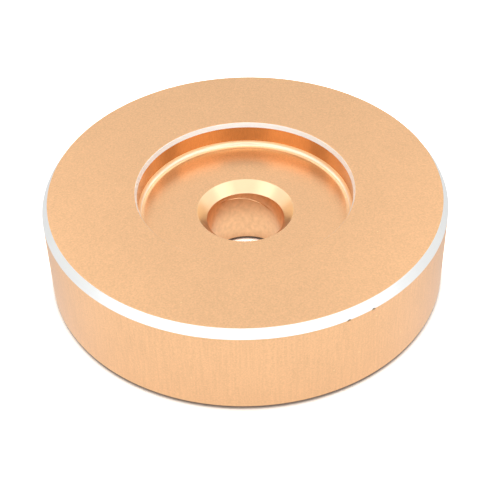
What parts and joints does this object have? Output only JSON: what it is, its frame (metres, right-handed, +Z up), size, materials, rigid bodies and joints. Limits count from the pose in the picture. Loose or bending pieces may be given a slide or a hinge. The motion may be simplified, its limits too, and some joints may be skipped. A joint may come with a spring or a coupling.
{
  "type": "record spindle adapter",
  "caption": "Round turned disc that centres a record with a large hole on a thin spindle, with a shallow recess and a countersunk bore.",
  "frame": {"origin": "centre of the base, where the disc rests on the platter", "axes": "+Z up along the bore's axis, from the base to the recessed top face"},
  "size_m": [0.038, 0.038, 0.0095],
  "materials": {
    "anodised_aluminium": "satin champagne-gold anodised, with bright-cut bare bevels round the top face and the recess mouth"
  },
  "bodies": {
    "root": {"adapter_disc": "anodised_aluminium"}
  },
  "joints": []
}
